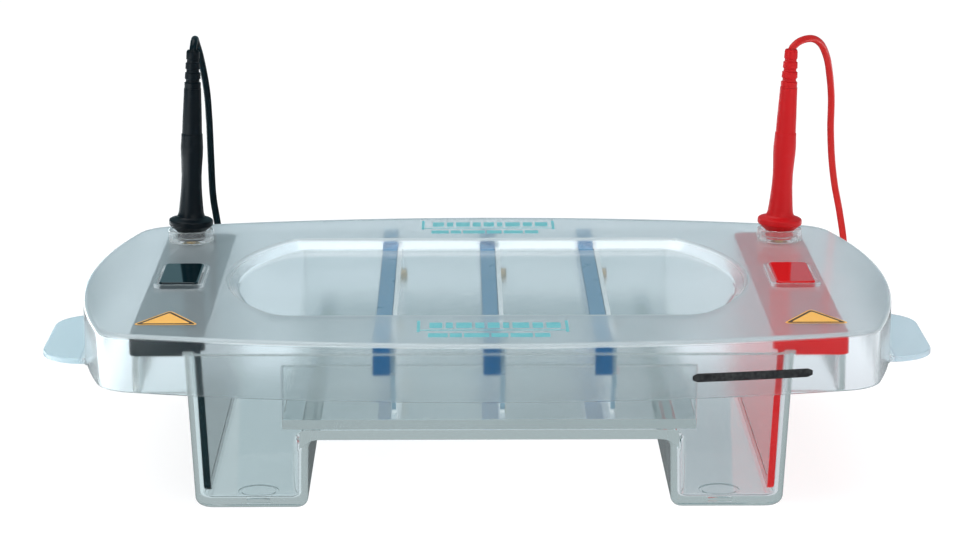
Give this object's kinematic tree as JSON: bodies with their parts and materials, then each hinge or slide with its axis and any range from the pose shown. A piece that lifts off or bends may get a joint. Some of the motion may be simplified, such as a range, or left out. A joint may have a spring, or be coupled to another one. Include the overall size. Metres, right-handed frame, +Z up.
{
  "type": "gel electrophoresis tank",
  "caption": "Clear buffer tank with raised gel platform, lift-out gel tray and combs, removable electrode carriers, frosted safety lid and plug-in power leads.",
  "frame": {"origin": "on the bench plane under the middle of the tank", "axes": "+Z up, +X towards the anode (red) end, -Y towards the user"},
  "size_m": [0.3926, 0.4195, 0.1705],
  "materials": {
    "clear_tank": "polished clear acrylic",
    "clear_tray": "polished UV-transparent acrylic",
    "frosted_lid": "lightly frosted clear plastic with a polished window",
    "clear_collar": "polished clear plastic",
    "comb_blue": "satin moulded",
    "comb_white": "satin sheet",
    "black_plastic": "satin moulded, polished pad",
    "red_plastic": "satin moulded, polished pad",
    "yellow_mark": "printed film with a dark border",
    "gold": "gold plated",
    "brass": "turned",
    "platinum": "drawn wire",
    "seal_rubber": "matt",
    "black_plug": "soft moulded",
    "red_plug": "soft moulded",
    "black_cable": "silicone",
    "red_cable": "silicone"
  },
  "bodies": {
    "tank": {"tank": "clear_tank"},
    "tray": {"gel_tray": "clear_tray"},
    "comb_left": {"comb_bar_left": "comb_blue", "comb_plate_left": "comb_white", "comb_screw_left": "brass", "comb_screw_front_left": "brass"},
    "comb_centre": {"comb_bar_centre": "comb_blue", "comb_plate_centre": "comb_white", "comb_screw_centre": "brass", "comb_screw_front_centre": "brass"},
    "comb_right": {"comb_bar_right": "comb_blue", "comb_plate_right": "comb_white", "comb_screw_right": "brass", "comb_screw_front_right": "brass"},
    "cathode_unit": {"cathode_carrier": "black_plastic", "cathode_pin": "gold", "cathode_pin_nut": "brass", "cathode_pin_seal": "seal_rubber", "cathode_wire": "platinum"},
    "anode_unit": {"anode_carrier": "red_plastic", "anode_pin": "gold", "anode_pin_nut": "brass", "anode_pin_seal": "seal_rubber", "anode_wire": "platinum"},
    "lid_unit": {"lid": "frosted_lid", "plug_collar_left": "clear_collar", "plug_collar_right": "clear_collar", "triangle_mark_left": "yellow_mark", "triangle_mark_right": "yellow_mark"},
    "black_lead": {"black_plug_body": "black_plug", "black_plug_boot": "black_plug", "black_plug_contact": "brass", "black_cable": "black_cable", "black_end_plug": "black_plug", "black_end_pin": "gold"},
    "red_lead": {"red_plug_body": "red_plug", "red_plug_boot": "red_plug", "red_plug_contact": "brass", "red_cable": "red_cable", "red_end_plug": "red_plug", "red_end_pin": "gold"}
  },
  "joints": [
    {"name": "lid_lift", "type": "slide", "parent": "tank", "child": "lid_unit", "axis": [0, 0, 1], "range_m": [0, 0.15]},
    {"name": "tray_lift", "type": "slide", "parent": "tank", "child": "tray", "axis": [0, 0, 1], "range_m": [0, 0.0455]},
    {"name": "comb_left_lift", "type": "slide", "parent": "tray", "child": "comb_left", "axis": [0, 0, 1], "range_m": [0, 0.0305]},
    {"name": "comb_centre_lift", "type": "slide", "parent": "tray", "child": "comb_centre", "axis": [0, 0, 1], "range_m": [0, 0.0305]},
    {"name": "comb_right_lift", "type": "slide", "parent": "tray", "child": "comb_right", "axis": [0, 0, 1], "range_m": [0, 0.0305]},
    {"name": "cathode_unit_lift", "type": "slide", "parent": "tank", "child": "cathode_unit", "axis": [0, 0, 1], "range_m": [0, 0.0605]},
    {"name": "anode_unit_lift", "type": "slide", "parent": "tank", "child": "anode_unit", "axis": [0, 0, 1], "range_m": [0, 0.0605]},
    {"name": "black_plug_pull", "type": "slide", "parent": "lid_unit", "child": "black_lead", "axis": [0, 0, 1], "range_m": [0, 0.022]},
    {"name": "red_plug_pull", "type": "slide", "parent": "lid_unit", "child": "red_lead", "axis": [0, 0, 1], "range_m": [0, 0.022]}
  ],
  "couplings": [
    {"joint": "tray_lift", "follows": "lid_lift", "ratio": 0.3},
    {"joint": "comb_left_lift", "follows": "lid_lift", "ratio": 0.2},
    {"joint": "comb_centre_lift", "follows": "lid_lift", "ratio": 0.2},
    {"joint": "comb_right_lift", "follows": "lid_lift", "ratio": 0.2},
    {"joint": "cathode_unit_lift", "follows": "lid_lift", "ratio": 0.4},
    {"joint": "anode_unit_lift", "follows": "lid_lift", "ratio": 0.4}
  ]
}
